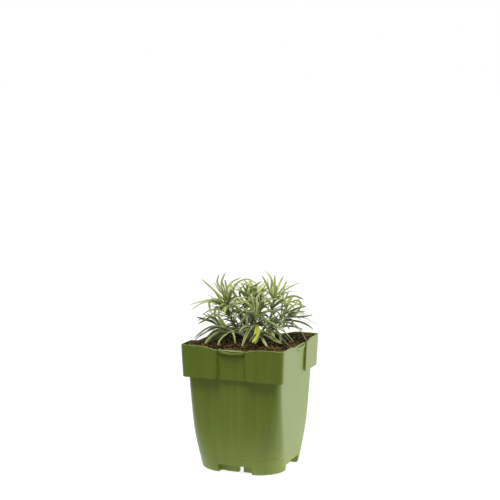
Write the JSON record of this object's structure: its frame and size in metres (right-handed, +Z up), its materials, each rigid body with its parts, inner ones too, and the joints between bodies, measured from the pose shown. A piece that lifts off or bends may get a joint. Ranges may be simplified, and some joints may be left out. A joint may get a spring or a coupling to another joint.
{
  "type": "potted curry plant",
  "caption": "Young curry plant with narrow felted leaves in tufts, growing in potting mix in a square green nursery pot with a folded band.",
  "frame": {"origin": "centre of the pot's footprint, on the surface that it stands on", "axes": "+Z up through the plant; -Y faces the front of the pot and +X its right side, square to the pot's walls"},
  "size_m": [0.1175, 0.1116, 0.1987],
  "materials": {
    "pot_plastic": "satin",
    "potting_mix": "matte",
    "crown_bark": "matte",
    "stem": "matte",
    "leaf": "matte",
    "yellow_leaf": "matte"
  },
  "bodies": {
    "root": {"back_leaves": "leaf", "back_left_leaves": "leaf", "back_left_stem": "stem", "back_right_leaves": "leaf", "back_right_stem": "stem", "back_stem": "stem", "basal_leaf": "leaf", "drooping_leaf": "leaf", "front_leaves": "leaf", "front_stem": "stem", "left_leaves": "leaf", "left_stem": "stem", "low_back_leaves": "leaf", "low_back_stem": "stem", "lower_leaf_01": "leaf", "lower_leaf_02": "leaf", "lower_leaf_03": "leaf", "lower_leaf_04": "leaf", "lower_leaf_05": "leaf", "lower_leaf_06": "leaf", "lower_leaf_07": "leaf", "lower_leaf_08": "leaf", "lower_leaf_09": "leaf", "lower_leaf_10": "leaf", "lower_leaf_11": "leaf", "lower_leaf_12": "leaf", "lower_leaf_13": "leaf", "lower_leaf_14": "leaf", "lower_leaf_15": "leaf", "lower_leaf_16": "leaf", "lower_leaf_17": "leaf", "lower_leaf_18": "leaf", "lower_leaf_19": "leaf", "lower_leaf_20": "leaf", "lower_leaf_21": "leaf", "lower_leaf_22": "leaf", "lower_leaf_23": "leaf", "lower_leaf_24": "leaf", "lower_right_leaves": "leaf", "lower_right_stem": "stem", "middle_left_leaves": "leaf", "middle_left_stem": "stem", "middle_top_leaves": "leaf", "middle_top_stem": "stem", "pot": "pot_plastic", "potting_mix": "potting_mix", "right_leaves": "leaf", "right_stem": "stem", "root_crown": "crown_bark", "trailing_leaf": "leaf", "upper_left_leaves": "leaf", "upper_left_stem": "stem", "upper_right_leaves": "leaf", "upper_right_stem": "stem", "yellow_leaf": "yellow_leaf"}
  },
  "joints": []
}
